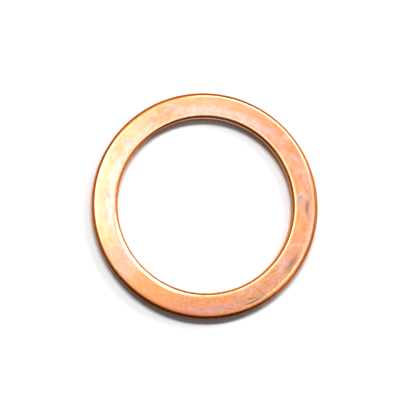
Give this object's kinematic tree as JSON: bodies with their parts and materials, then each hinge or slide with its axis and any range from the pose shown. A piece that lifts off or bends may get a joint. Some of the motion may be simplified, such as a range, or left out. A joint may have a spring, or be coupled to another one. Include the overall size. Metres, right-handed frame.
{
  "type": "exhaust gasket",
  "caption": "Flat hollow ring of folded copper sheet with rounded rims, which crushes to seal an exhaust pipe's flange to the port.",
  "frame": {"origin": "centre of the ring on its underside", "axes": "+Z along the ring's axis, out of the closed sealing face; X and Y are any two directions across the ring"},
  "size_m": [0.044, 0.044, 0.0025],
  "materials": {
    "copper": "bare soft copper sheet, satin with fine forming lines, light tarnish and small scuffs"
  },
  "bodies": {
    "root": {"gasket_ring": "copper"}
  },
  "joints": []
}
